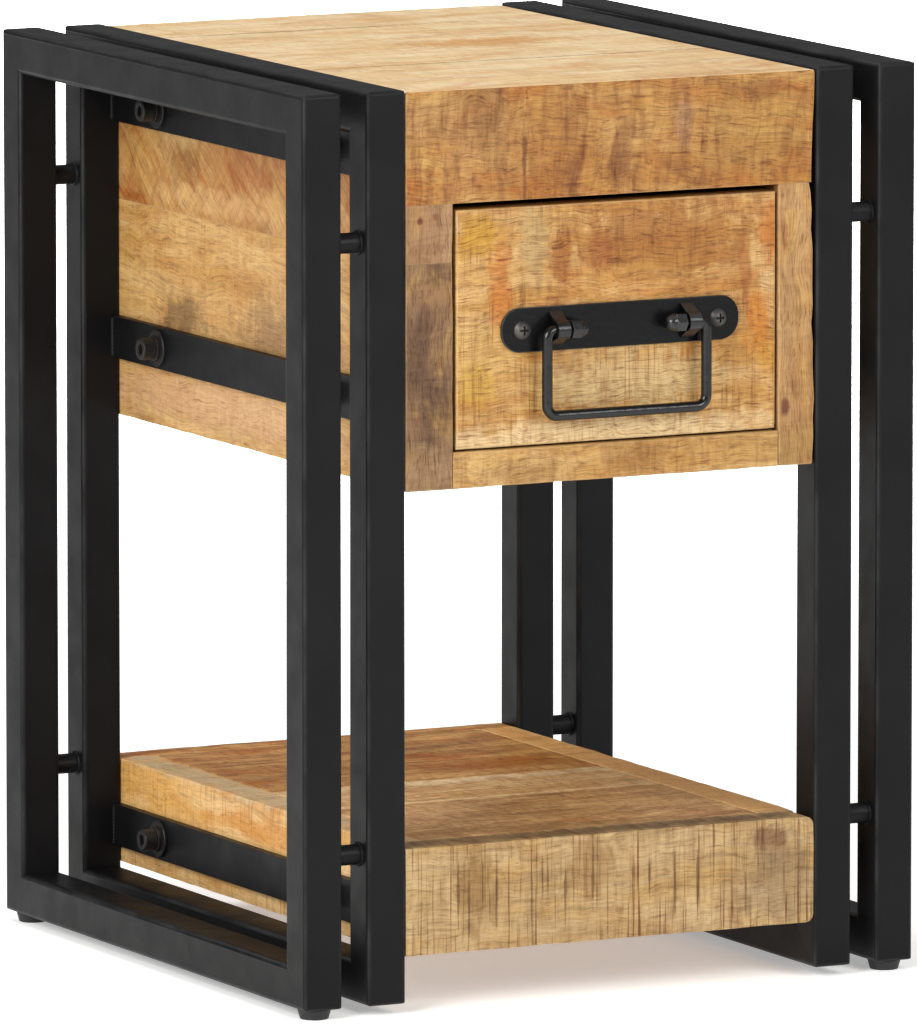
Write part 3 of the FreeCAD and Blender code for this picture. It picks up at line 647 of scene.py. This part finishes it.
def board(node, finish, slot, tight=(), outer=1.4, seam=0.4, wobble=0.35, carve=None,
          body="table"):
    """Board that stands for a measured one; tight names its sides that meet a neighbour."""
    low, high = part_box(node)

    def radius_of(edge):
        """Tight where the board meets a neighbour, rounder elsewhere, sharp if tiny."""
        ends = [corner.co for corner in edge.verts]
        if edge.calc_length() < 8 * mm:
            return 0.0
        sides = [side for side in ("x-", "x+", "y-", "y+", "z-", "z+")
                 if all(on_face(end, low, high, side) for end in ends)]
        if not sides:
            return 0.0
        return seam if set(sides) & set(tight) else outer

    made = bevelled(joined_copy(node), f"wood_{node}", radius_of)
    work = bmesh.new()
    work.from_mesh(made.data)
    for axis in range(3):
        length = high[axis] - low[axis]
        count = int(length / short_length)
        if count > 2:
            cut_across(work, axis, [low[axis] + length * (i + 0.5) / count for i in range(count)])
    for corner in work.verts:
        push = Vector()
        for axis in range(3):
            for sign, wall in ((1, high[axis]), (-1, low[axis])):
                name = "xyz"[axis] + ("+" if sign > 0 else "-")
                gap = (wall - corner.co[axis]) * sign
                if name not in tight and gap < outer * 1.05 * mm:
                    push[axis] -= sign
        if sum(abs(part) > 0 for part in push) >= 2:
            slow, quick = noise.noise(corner.co * 55), noise.noise(corner.co * 210)
            corner.co += push * max(0.0, slow + 0.35 * quick + 0.35) * wobble * mm
        if carve:
            corner.co.x -= carve(corner.co, low, high)
    work.to_mesh(made.data)
    work.free()
    smooth_faces(made)
    rim_values(made)
    return dress(made, finish, body, slot, node)


def softly(value):
    """Ease from 0 to 1."""
    value = min(1.0, max(0.0, value))
    return value * value * (3 - 2 * value)


# %% [markdown]
# The case is a picture frame of boards round the drawer. The top and the fascia meet in a
# mitre. The right stile keeps a live edge, the wavy outside of the log, so its outer edge
# is carved in by up to three millimetres, with a small notch under the fascia.

# %% Case boards
def lean_in(point, low, high):
    """The fascia's right end leans in towards its bottom."""
    near_end = softly((point.x - (high.x - 9 * mm)) / (9 * mm))
    down = (high.z - point.z) / (high.z - low.z)
    return near_end * (0.2 + 2.2 * softly(down)) * mm


def live_edge(point, low, high):
    """The right stile's waney edge with a notch at its top."""
    near_edge = softly((point.x - (high.x - 8 * mm)) / (8 * mm))
    from_top = (high.z - point.z) / mm
    depth = 2.1 - 1.5 * softly(from_top / 150) + 0.5 * math.sin(from_top / 11)
    depth += 1.6 * softly((7 - from_top) / 5) + 0.4 * math.sin(from_top / 4.3 + 1)
    return near_edge * max(0.1, depth) * mm


for node, tight in (("top_front_plank", ("y-", "y+", "z-")),
                    ("top_middle_plank", ("y-", "y+", "z-")),
                    ("top_rear_plank", ("y-", "z-"))):
    board(node, top_wood, "pale_top_wood", tight, seam=0.9, wobble=0.2)
board("front_fascia", fascia_wood, "case_wood", ("z+", "z-", "y+"), seam=0.5, carve=lean_in)
board("left_stile_upper", stile_pink, "case_wood", ("z+", "z-", "y+"))
board("left_stile_lower", stile_dark, "case_wood", ("z+", "y+"))
board("right_stile", stile_tan, "case_wood", ("z+", "y+"), carve=live_edge)
board("bottom_rail", rail_wood, "case_wood", ("x-", "x+", "y+"), seam=0.3)
for side in ("left", "right"):
    board(f"{side}_side_upper_plank", side_brown, "case_wood", ("z+", "z-", "y-"))
    board(f"{side}_side_lower_plank", side_pale, "case_wood", ("z+", "y-"))
board("case_back", back_wood, "plain_inside_wood", ("x-", "x+", "z+"), wobble=0.1)
board("case_bottom", inside_wood, "plain_inside_wood", ("x-", "x+", "y-", "y+"), wobble=0.1)
print("case boards done")

# %% [markdown]
# The drawer is a plain box behind a thick front. Its inside pieces are planed and stay
# crisp; the front is rough like the case and has rounder edges, which catch the light.

# %% Drawer boards
board("drawer_front", drawer_wood, "drawer_front_wood", ("y+",), outer=0.8, seam=0.3,
      wobble=0.3, body="drawer")
for node in ("drawer_left_side", "drawer_right_side", "drawer_back"):
    board(node, inside_wood, "plain_inside_wood", (), outer=0.6, wobble=0.05, body="drawer")
board("drawer_bottom", plywood, "drawer_bottom_plywood", (), outer=0.3, wobble=0, body="drawer")
for node in ("left_drawer_runner", "right_drawer_runner"):
    board(node, inside_wood, "plain_inside_wood", (), outer=0.6, wobble=0)

# %% [markdown]
# The shelf is a shallow box: a thick front board with rounded right corners, two side
# rails, a thin rear board, and three planks let in between them.

# %% Shelf boards
board("shelf_front_board", shelf_front_wood, "shelf_wood", ("y+",), outer=1.8, seam=0.5)
board("shelf_back_board", shelf_rear_plank_wood, "shelf_wood", ("y-",), outer=1.5, seam=0.4)
for side in ("left", "right"):
    board(f"shelf_{side}_rail", shelf_rail_wood, "shelf_wood", ("y-", "y+"), outer=1.5, seam=0.4)
for name, finish in (("front", shelf_front_plank_wood), ("middle", shelf_middle_plank_wood),
                     ("rear", shelf_rear_plank_wood)):
    board(f"shelf_{name}_plank", finish, "shelf_wood", ("x-", "x+", "y-", "y+"), seam=0.8)
board("shelf_cleats", inside_wood, "plain_inside_wood", (), outer=0.5, wobble=0)
print("shelf boards done")

# %% [markdown]
# The tubes are welded into rings and ground flush, so the mitred corners end in a small
# outside radius. A few loops are cut near each end of a tube, and every point that lies
# outside a quarter circle in the corner is drawn back onto it. Both tubes of a corner are
# treated alike, so they still meet.

# %% Frame tubes
corner_radius = 2.6 * mm
corner_steps = [0.25 * mm, 0.6 * mm, 1.0 * mm, 1.5 * mm, 2.0 * mm, 2.6 * mm]


def frame_tube(node):
    """Tube of a side frame with its ring's outer corners rounded."""
    work = joined_copy(node)
    is_leg = node.endswith("leg")
    axis, ends = (2, (frame_foot, frame_top)) if is_leg else (1, (frame_front, frame_rear))
    for step in corner_steps:
        cut_across(work, axis, [ends[0] + step, ends[1] - step])
    for corner in work.verts:
        for y_wall, y_sign in ((frame_front, 1), (frame_rear, -1)):
            for z_wall, z_sign in ((frame_foot, 1), (frame_top, -1)):
                deep = (corner.co.y - y_wall) * y_sign
                tall = (corner.co.z - z_wall) * z_sign
                if deep < corner_radius and tall < corner_radius:
                    away = Vector((corner_radius - deep, corner_radius - tall))
                    if away.length > corner_radius:
                        away *= corner_radius / away.length
                        corner.co.y = y_wall + y_sign * (corner_radius - away.x)
                        corner.co.z = z_wall + z_sign * (corner_radius - away.y)
    made = as_object(work, f"steel_{node}")
    smooth_faces(made)
    rim_values(made)
    return dress(made, frame_coat, "table", "black_frame_steel", node)


for side in ("left", "right"):
    for ring in ("outer", "inner"):
        for part in ("front_leg", "rear_leg", "top_rail", "bottom_rail"):
            frame_tube(f"{side}_{ring}_{part}")
print("frame tubes done")


# %% Softened metal
def soft_metal(node, finish, slot, radius, body="table", segments=2, longer_than=0.5):
    """Copy of a measured metal piece with its sharp edges broken."""
    made = bevelled(joined_copy(node), f"metal_{node}",
                    lambda edge: radius if edge.calc_length() > longer_than * mm else 0.0,
                    segments)
    smooth_faces(made)
    rim_values(made)
    return dress(made, finish, body, slot, node)


for node in ("top_straps", "middle_straps", "shelf_straps"):
    soft_metal(node, frame_coat, "black_frame_steel", 0.8, segments=3)
soft_metal("spacer_pins", frame_coat, "black_frame_steel", 0.3)
soft_metal("foot_glides", glide_plastic, "black_foot_plastic", 0.5)
soft_metal("spring_washers", screw_coat, "black_screw_steel", 0.25)
soft_metal("threaded_inserts", bright_steel, "plain_insert_steel", 0.2)
soft_metal("handle_plate", handle_coat, "black_handle_steel", 0.5, "drawer")
soft_metal("handle_lugs", bail_coat, "black_handle_steel", 0.35, "drawer")
crosses = soft_metal("handle_screws", grey_screw, "grey_screw_steel", 0.2, "drawer",
                     longer_than=0.3)

# The cross recesses would lie in shade, so their floors are marked as deep and get painted shade.
heads_low, heads_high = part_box("handle_screws")
cross_head_radius, cross_reach, cross_floor = 5.5 * mm, 3.2 * mm, 1.0 * mm
heads_z = (heads_low.z + heads_high.z) / 2
head_axes = (heads_low.x + cross_head_radius, heads_high.x - cross_head_radius)
recess_shade = []
for corner in crosses.data.vertices:
    from_axis = min(abs(corner.co.x - axis_x) for axis_x in head_axes)
    inside = math.hypot(from_axis, corner.co.z - heads_z) < cross_reach
    recess_shade.append(float(inside and corner.co.y > heads_low.y + cross_floor))
store(crosses.data, "deep", recess_shade)
soft_metal("bail_nuts", bail_coat, "black_handle_steel", 0.35, "bail")
print("softened metal done")

# %% [markdown]
# Screws, washers and weld beads repeat, so each is modelled once and set out on marked
# places by Geometry Nodes. The places are bare points that carry an `aim`, the turn that
# lays the part's own Z along the way it faces. A random turn about that axis keeps twelve
# sockets from standing alike. Realize Instances at the end makes plain mesh of it all.

# %% A tree that sets out parts
set_out, given = new_group(
    "set_out_parts",
    {"Places": "Geometry", "Part": "Object", "Finish": "Material", "Largest turn": "Float",
     "Seed": "Int"},
    {"Parts": "Geometry"}, "GeometryNodeTree")
facing = add(set_out, "GeometryNodeInputNamedAttribute", {"Name": "aim"},
             data_type="FLOAT_VECTOR")
facing = add(set_out, "FunctionNodeEulerToRotation", {0: facing})
least = add(set_out, "Math", {0: given["Largest turn"], 1: -1.0}, operation="MULTIPLY")
turn = add(set_out, "FunctionNodeRandomValue",
           {2: least, 3: given["Largest turn"], "Seed": given["Seed"]}, 1, data_type="FLOAT")
turn = add(set_out, "CombineXYZ", {"Z": turn})
turn = add(set_out, "FunctionNodeEulerToRotation", {0: turn})
facing = add(set_out, "FunctionNodeRotateRotation", {0: facing, 1: turn}, rotation_space="LOCAL")
part = add(set_out, "GeometryNodeObjectInfo", {"Object": given["Part"]}, "Geometry")
row = add(set_out, "GeometryNodeInstanceOnPoints",
          {"Points": given["Places"], "Instance": part, "Rotation": facing})
row = add(set_out, "GeometryNodeRealizeInstances", {0: row})
row = add(set_out, "GeometryNodeSetMaterial", {"Geometry": row, "Material": given["Finish"]})
add(set_out, "NodeGroupOutput", {0: row})


def give(modifier, **values):
    """Set a Geometry Nodes modifier's inputs by the identifiers of their sockets."""
    for item in modifier.node_group.interface.items_tree:
        name = item.name.replace(" ", "_")
        if item.in_out == "INPUT" and name in values:
            modifier[item.identifier] = values[name]


def set_out_parts(name, part, places, finish, body, slot, nodes=(), largest_turn=0.0, seed=1):
    """Copies of a part at places, each a point and the turn that aims it."""
    mesh = bpy.data.meshes.new(name)
    mesh.from_pydata([place for place, aim_turn in places], [], [])
    store(mesh, "aim", [aim_turn for place, aim_turn in places], "FLOAT_VECTOR")
    made = bpy.data.objects.new(name, mesh)
    scene.collection.objects.link(made)
    modifier = made.modifiers.new("parts", "NODES")
    modifier.node_group = set_out
    give(modifier, Part=part, Finish=finish, Largest_turn=largest_turn, Seed=seed)
    baked(made)
    made.data.shade_smooth()
    made.data.set_sharp_from_angle(angle=math.radians(35))
    bpy.data.objects.remove(part)
    print(name, len(places), "times,", len(made.data.polygons), "faces")
    return dress(made, finish, body, slot, *nodes)


# %% [markdown]
# A screw head is turned on a lathe, so its model is too: a profile of radius and height
# is copied round the axis. The same function lets a rule change the radius with the angle,
# which gives the knurled rim and the six flats of the socket.

# %% Lathe
def turned(name, profile, steps, radius_rule=None, closed=False):
    """Object from a profile of (radius, height) in mm, turned about Z."""
    work = bmesh.new()
    rings = []
    for radius, height in profile:
        ring = []
        for step in range(steps):
            angle = 2 * math.pi * step / steps
            now = radius_rule(angle, radius, height) if radius_rule else radius
            ring.append(work.verts.new((now * math.cos(angle) * mm, now * math.sin(angle) * mm,
                                        height * mm)))
        rings.append(ring)
    pairs = list(zip(rings[:-1], rings[1:])) + ([(rings[-1], rings[0])] if closed else [])
    for lower, upper in pairs:
        for step in range(steps):
            after = (step + 1) % steps
            work.faces.new((lower[step], lower[after], upper[after], upper[step]))
    bmesh.ops.remove_doubles(work, verts=work.verts, dist=0.001 * mm)
    bmesh.ops.recalc_face_normals(work, faces=work.faces)
    return as_object(work, name)


def socket_head(angle, radius, height):
    """Knurled rim outside, six flats inside."""
    knurls, knurl_depth, half_flats = 30, 0.22, 3.0
    if radius > 6.2 and 0.8 < height < 6.9:
        return radius - knurl_depth * (0.5 + 0.5 * math.cos(knurls * angle))
    if 2.5 < radius < 3.4 and height > 1:
        return half_flats / math.cos((angle + math.pi / 6) % (math.pi / 3) - math.pi / 6)
    return radius


# %% Strap screws and flat washers
strap_low, strap_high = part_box("top_straps")
screw_low, screw_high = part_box("strap_screws")
head_height, row_from_leg = 8 * mm, 62 * mm
screw_profile = [(0, -20), (2.9, -20), (3.9, -19), (3.9, -0.4), (4.3, 0), (6.1, 0), (6.5, 0.4),
                 (6.5, 1.0), (6.5, 6.8), (6.45, 7.3), (6.2, 7.75), (5.7, 8), (3.9, 8),
                 (3.6, 7.9), (3.3, 7.5), (3.2, 4.2), (2.6, 3.6), (0, 3.3)]
socket_screw = turned("socket_screw", screw_profile, 120, socket_head)
washer_profile = [(4.3, 0.2), (4.5, 0), (10.7, 0), (11, 0.3), (11, 1.6), (10.6, 2), (4.5, 2),
                  (4.3, 1.8)]
washer = turned("washer", washer_profile, 48, closed=True)

face_left, face_right = (0, -math.pi / 2, 0), (0, math.pi / 2, 0)
screw_rows = (frame_front + tube_side + row_from_leg, frame_rear - tube_side - row_from_leg)
strap_levels = [sum(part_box(node), Vector()).z / 2
                for node in ("top_straps", "middle_straps", "shelf_straps")]
head_places, washer_places = [], []
for sign, aim_turn, outermost in ((-1, face_left, screw_low.x), (1, face_right, screw_high.x)):
    for level in strap_levels:
        for row_y in screw_rows:
            head_places.append(((outermost - sign * head_height, row_y, level), aim_turn))
            washer_places.append(((sign * strap_high.x, row_y, level), aim_turn))
set_out_parts("metal_strap_screws", socket_screw, head_places, screw_coat, "table",
              "black_screw_steel", ["strap_screws"], largest_turn=math.pi, seed=7)
set_out_parts("metal_flat_washers", washer, washer_places, screw_coat, "table",
              "black_screw_steel", ["flat_washers"])

# %% [markdown]
# Where a strap meets a leg there is a short weld bead, and each spacer pin has a ring of
# weld at both ends. A bead is a row of overlapping drops, so its thickness swells and
# shrinks every two millimetres or so. Half of it lies inside the steel, as real weld does.

# %% Weld beads
strap_depth = strap_high.z - strap_low.z


def drops(distance, pitch=2.1):
    """Thickness of a weld along its length: 1 on a drop, less between drops."""
    return 0.86 + 0.14 * abs(math.sin(math.pi * distance / pitch))


half_bead = strap_depth / mm / 2
bead_radius, bead_tip, run_out, bead_steps = 1.7, 0.2, 1.2, 50
bead_profile = [(0, -half_bead)]
for step in range(bead_steps + 1):
    height = -half_bead + bead_tip + 2 * (half_bead - bead_tip) * step / bead_steps
    taper = min(1.0, (half_bead - abs(height)) / run_out) ** 0.5
    bead_profile.append((bead_radius * drops(height) * taper, height))
bead_profile.append((0, half_bead))
bead = turned("bead", bead_profile, 16)
leg_faces = (frame_front + tube_side, frame_rear - tube_side)
bead_places = [((sign * strap_high.x, face_y, level), (0, 0, 0))
               for sign in (-1, 1) for face_y in leg_faces for level in strap_levels]
set_out_parts("weld_strap_beads", bead, bead_places, frame_coat, "table", "black_frame_steel",
              largest_turn=math.pi, seed=3)


def weld_ring(angle, radius, height):
    """A ring of drops round a pin."""
    return radius if radius < 6.1 else 6 + (radius - 6) * drops(angle * 6.5)


pin_low, pin_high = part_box("spacer_pins")
pin_radius = 6 * mm
ring_profile = [(5.9, 0), (7.3, 0), (7.2, 0.5), (6.9, 0.95), (6.4, 1.25), (5.9, 1.35)]
ring = turned("ring", ring_profile, 60, weld_ring, closed=True)
pin_zs = (pin_high.z - pin_radius, pin_low.z + pin_radius)
pin_ys = (pin_low.y + pin_radius, pin_high.y - pin_radius)
inner_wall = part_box("left_inner_front_leg")[0].x
outer_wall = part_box("left_outer_front_leg")[1].x
ring_places = []
for y in pin_ys:
    for z in pin_zs:
        for sign in (-1, 1):
            turn_in, turn_out = (face_left, face_right) if sign < 0 else (face_right, face_left)
            ring_places.append(((-sign * inner_wall, y, z), turn_in))
            ring_places.append(((-sign * outer_wall, y, z), turn_out))
set_out_parts("weld_pin_rings", ring, ring_places, frame_coat, "table", "black_frame_steel",
              largest_turn=math.pi, seed=5)

# %% [markdown]
# The bail is one bar bent four times. Its centre line is a few straight edges whose corner
# points carry a bend radius; Fillet Curve rounds each by its own, and Curve to Mesh gives
# the bar its section. A slow noise thins it by a few hundredths, as a hammer does.

# %% Bail
bend_bar, given = new_group(
    "bend_bar",
    {"Line": "Geometry", "Bar radius": "Float", "Thinning": "Float", "Finish": "Material"},
    {"Bar": "Geometry"}, "GeometryNodeTree")
bends = add(bend_bar, "GeometryNodeInputNamedAttribute", {"Name": "bend"}, data_type="FLOAT")
line = add(bend_bar, "GeometryNodeMeshToCurve", {0: given["Line"]})
line = add(bend_bar, "GeometryNodeFilletCurve", {"Curve": line, "Count": 12, "Radius": bends},
           mode="POLY")
line = add(bend_bar, "GeometryNodeResampleCurve", {"Curve": line, "Length": 0.7 * mm},
           mode="LENGTH")
spot = add(bend_bar, "GeometryNodeInputPosition")
uneven = add(bend_bar, "TexNoise", {"Vector": spot, "Scale": 1 / (9 * mm), "Detail": 1.0})
thinner = add(bend_bar, "Math", {0: uneven, 1: given["Thinning"]}, operation="MULTIPLY")
thinner = add(bend_bar, "Math", {0: 1.0, 1: thinner}, operation="SUBTRACT")
radius = add(bend_bar, "Math", {0: given["Bar radius"], 1: thinner}, operation="MULTIPLY")
section = add(bend_bar, "GeometryNodeCurvePrimitiveCircle", {"Resolution": 24, "Radius": 1.0})
bar = add(bend_bar, "GeometryNodeCurveToMesh",
          {"Curve": line, "Profile Curve": section, "Fill Caps": True, "Scale": radius})
bar = add(bend_bar, "GeometryNodeRealizeInstances", {0: bar})
bar = add(bend_bar, "GeometryNodeSetMaterial", {"Geometry": bar, "Material": given["Finish"]})
add(bend_bar, "NodeGroupOutput", {0: bar})

bail_low, bail_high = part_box("bail")
bar_radius = (bail_high.y - bail_low.y) / 2
pin_y, pin_z = (bail_low.y + bail_high.y) / 2, bail_high.z - bar_radius
grip_z = bail_low.z + bar_radius
arm_left, arm_right = bail_low.x + bar_radius, bail_high.x - bar_radius
nut_low, nut_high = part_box("bail_nuts")
top_bend, low_bend = 5 * mm, 6.5 * mm
points = [((nut_low.x + 1 * mm, pin_y, pin_z), 0.0), ((arm_left, pin_y, pin_z), top_bend),
          ((arm_left, pin_y, grip_z), low_bend), ((arm_right, pin_y, grip_z), low_bend),
          ((arm_right, pin_y, pin_z), top_bend), ((nut_high.x - 1 * mm, pin_y, pin_z), 0.0)]
mesh = bpy.data.meshes.new("bail_bar")
mesh.from_pydata([point for point, bend in points], [(i, i + 1) for i in range(5)], [])
store(mesh, "bend", [bend for point, bend in points])
bail = bpy.data.objects.new("metal_bail", mesh)
scene.collection.objects.link(bail)
modifier = bail.modifiers.new("bar", "NODES")
modifier.node_group = bend_bar
give(modifier, Bar_radius=bar_radius, Thinning=0.05, Finish=bail_coat)
baked(bail)
work = bmesh.new()
work.from_mesh(bail.data)
bmesh.ops.remove_doubles(work, verts=work.verts, dist=0.001 * mm)
bmesh.ops.recalc_face_normals(work, faces=work.faces)
work.to_mesh(bail.data)
work.free()
bail.data.shade_smooth()
bail.data.set_sharp_from_angle(angle=math.radians(40))
dress(bail, bail_coat, "bail", "black_handle_steel", "bail")
print("bail", len(bail.data.polygons), "faces")

# %% [markdown]
# A pale floor and even, soft light, as in a small product studio: large lamps at the left,
# in front and above, and one behind that only whitens the floor there. The floor glows a
# little, as paper lit from all sides does, and it only serves the picture.

# %% Floor and light
floor_finish, tree, shader = new_finish("studio_paper_white", Roughness=0.9,
                                        Base_Color=linear("#F6F6F4"), Emission_Strength=0.36,
                                        Emission_Color=linear("#FFFFFF"))
work = bmesh.new()
bmesh.ops.create_grid(work, x_segments=1, y_segments=1, size=40)
floor = as_object(work, "floor")
floor.data.materials.append(floor_finish)
floor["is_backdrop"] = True

world = bpy.data.worlds.new("studio")
world.use_nodes = True
world.node_tree.nodes["Background"].inputs[0].default_value = (1, 1, 1, 1)
world.node_tree.nodes["Background"].inputs[1].default_value = 0.22
scene.world = world


def lamp(name, place, size, watts, target=aim, spread=180):
    """Large soft lamp aimed at the middle of the table unless told otherwise."""
    data = bpy.data.lights.new(name, "AREA")
    data.size = size
    data.energy = watts
    data.spread = math.radians(spread)
    made = bpy.data.objects.new(name, data)
    made.location = place
    made.rotation_mode = "QUATERNION"
    made.rotation_quaternion = (Vector(target) - Vector(place)).to_track_quat("-Z", "Y")
    made.visible_camera = False
    scene.collection.objects.link(made)
    return made


lamp("left lamp", (-3.0, -1.6, 1.8), 1.8, 124)
lamp("front lamp", (1.0, -3.3, 1.9), 1.6, 71)
lamp("top lamp", (-0.3, 1.2, 3.4), 2.4, 58)
lamp("background lamp", (2.4, 2.2, 2.6), 2.0, 280, (2.4, 3.8, 0.0), 120)

# %% Visual box
full_box = [list(corner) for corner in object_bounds()]
print("visual box", [[round(value, 4) for value in corner] for corner in full_box])
